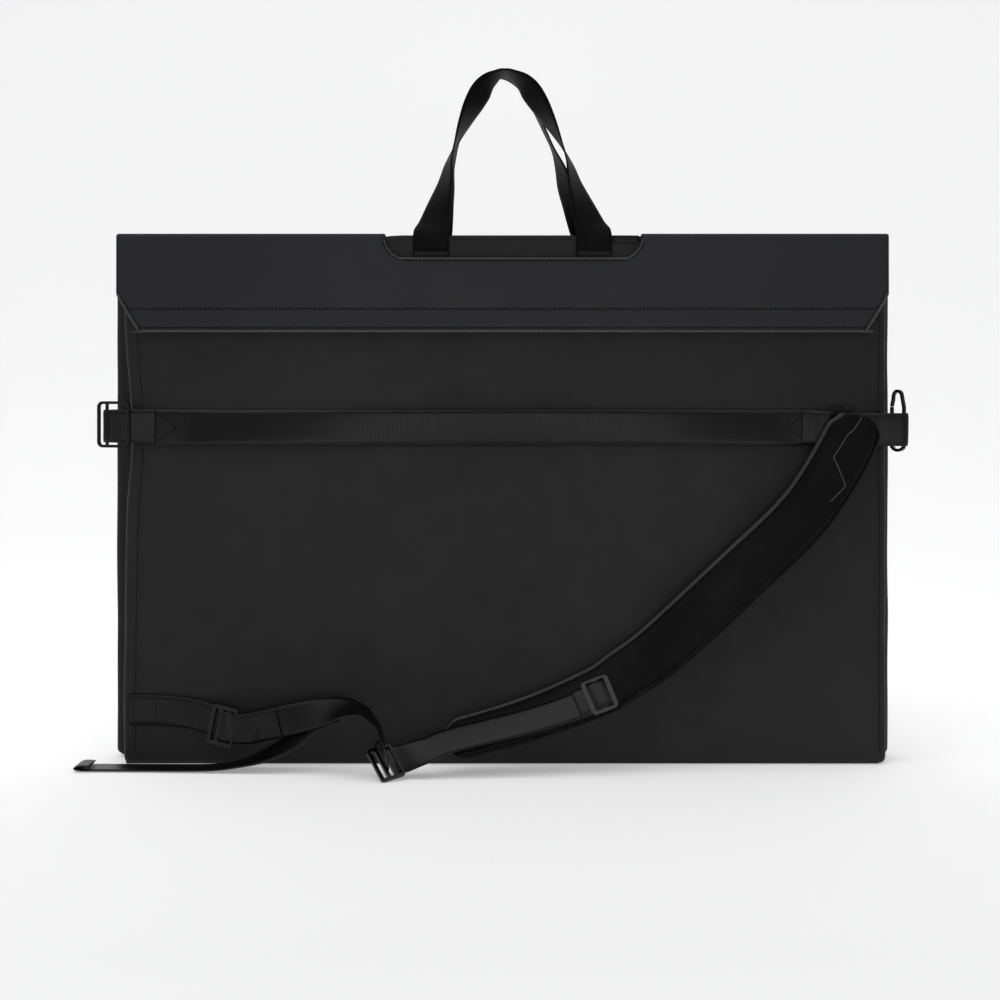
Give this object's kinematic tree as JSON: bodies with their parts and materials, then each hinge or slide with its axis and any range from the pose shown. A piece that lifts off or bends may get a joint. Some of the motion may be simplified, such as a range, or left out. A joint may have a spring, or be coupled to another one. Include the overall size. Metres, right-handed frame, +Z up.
{
  "type": "folding garment bag",
  "caption": "Flat garment bag of two hollow halves that fold about a bottom spine, closed by a slotted top flap, with webbing handles and a padded shoulder strap.",
  "frame": {"origin": "middle of the foot of the fold, on the face the bag stands on", "axes": "+X across the bag to the wearer's right of the front face, -Y out of the front face, +Z up"},
  "size_m": [0.6892, 0.13, 0.5799],
  "materials": {
    "coated_fabric": "matte, fine grained polyurethane-coated twill",
    "flap_fabric": "matte, smooth polyurethane-coated twill",
    "lining_fabric": "plain woven polyester",
    "board": "plain polyethylene sheet",
    "webbing": "ribbed satin nylon webbing",
    "pad_fabric": "padded, smooth coated face",
    "black_metal": "gloss black",
    "buckle_plastic": "moulded acetal",
    "zip_tape": "woven tape with coil teeth",
    "hook_and_loop": "hook and loop pile"
  },
  "bodies": {
    "back_half": {"back_shell": "coated_fabric", "back_stiffener_board": "board", "back_lining": "lining_fabric", "fold_spine": "coated_fabric", "back_handle_patch_left": "webbing", "back_handle_patch_right": "webbing", "hanger_bracket_tab": "webbing", "hanger_ring": "black_metal", "back_garment_strap_left": "webbing", "back_garment_strap_right": "webbing", "back_buckle_socket": "buckle_plastic", "back_buckle_tongue": "buckle_plastic", "flap_anchor_band": "flap_fabric"},
    "front_half": {"front_shell": "coated_fabric", "front_stiffener_board": "board", "front_lining": "lining_fabric", "front_zip_tape_outer": "zip_tape", "front_zip_tape_inner": "zip_tape", "front_zip_chain": "zip_tape", "front_garment_strap_left": "webbing", "front_garment_strap_right": "webbing", "front_buckle_socket": "buckle_plastic", "front_buckle_tongue": "buckle_plastic", "panel_loop_tape_left": "hook_and_loop", "panel_loop_tape_right": "hook_and_loop", "front_handle_patch_left": "webbing", "front_handle_patch_right": "webbing", "cross_strap": "webbing", "left_ring_loop": "webbing", "right_side_loop": "webbing", "right_anchor_loop": "webbing", "right_anchor_ring": "black_metal", "lower_tab": "webbing", "lower_ladder_lock": "black_metal"},
    "flap_top": {"flap_top_left": "flap_fabric", "flap_top_right": "flap_fabric"},
    "flap_front": {"flap_front": "flap_fabric", "flap_hem_facing": "flap_fabric", "flap_hook_tape_left": "hook_and_loop", "flap_hook_tape_right": "hook_and_loop"},
    "front_handle": {"front_handle": "webbing"},
    "back_handle": {"back_handle": "webbing"},
    "left_ring": {"left_ring": "black_metal"},
    "snap_hook": {"snap_hook_frame": "black_metal"},
    "snap_gate": {"snap_hook_gate": "black_metal"},
    "zip_slider": {"zip_slider": "black_metal", "zip_pull": "black_metal"},
    "shoulder_strap": {"shoulder_pad": "pad_fabric", "pad_webbing": "webbing", "pad_end_patch": "pad_fabric", "pad_end_loop": "webbing", "lead_webbing": "webbing", "upper_ladder_lock": "black_metal", "joining_webbing": "webbing", "strap_tail": "webbing", "strap_tail_end_fold": "webbing"},
    "pad_slider": {"pad_slider": "black_metal"}
  },
  "joints": [
    {"name": "fold", "type": "hinge", "parent": "back_half", "child": "front_half", "pos_m": [0, 0, 0], "axis": [1, 0, 0], "range_deg": [0, 180], "deforming": ["fold_spine", "flap_front", "flap_hem_facing", "flap_hook_tape_left", "flap_hook_tape_right"]},
    {"name": "flap_lift", "type": "hinge", "parent": "back_half", "child": "flap_top", "pos_m": [0, 0.0304, 0.4379], "axis": [-1, 0, 0], "range_deg": [0, 180], "deforming": ["front_handle", "back_handle"]},
    {"name": "flap_front_fold", "type": "hinge", "parent": "flap_top", "child": "flap_front", "pos_m": [0, -0.0322, 0.441], "axis": [-1, 0, 0], "range_deg": [0, 90]},
    {"name": "front_handle_swing", "type": "hinge", "parent": "front_half", "child": "front_handle", "pos_m": [0, -0.0308, 0.429], "axis": [1, 0, 0], "range_deg": [0, 150]},
    {"name": "back_handle_swing", "type": "hinge", "parent": "back_half", "child": "back_handle", "pos_m": [0, 0.0308, 0.429], "axis": [-1, 0, 0], "range_deg": [0, 150]},
    {"name": "left_ring_swing", "type": "hinge", "parent": "front_half", "child": "left_ring", "pos_m": [-0.3286, -0.0318, 0.2839], "axis": [0, 0, -1], "range_deg": [0, 70]},
    {"name": "snap_hook_swing", "type": "hinge", "parent": "front_half", "child": "snap_hook", "pos_m": [0.3336, -0.032, 0.281], "axis": [0, 0, -1], "range_deg": [0, 100]},
    {"name": "snap_gate_open", "type": "hinge", "parent": "snap_hook", "child": "snap_gate", "pos_m": [0.32709, -0.01738, 0.2716], "axis": [0.9135, 0.4067, 0], "range_deg": [0, 25], "stiffness_Nm_per_rad": 0.02},
    {"name": "zip_slide", "type": "slide", "parent": "front_half", "child": "zip_slider", "axis": [1, 0, 0], "range_m": [0, 0.56]},
    {"name": "strap_swing", "type": "hinge", "parent": "front_half", "child": "shoulder_strap", "pos_m": [0.2758, -0.048, 0.291], "axis": [-0.8852, 0.0036, -0.4652], "range_deg": [0, 110], "deforming": ["pad_end_loop", "strap_tail", "strap_tail_end_fold"]},
    {"name": "pad_slider_slide", "type": "slide", "parent": "shoulder_strap", "child": "pad_slider", "axis": [-0.9227, -0.1017, -0.3718], "range_m": [0, 0.008]}
  ]
}
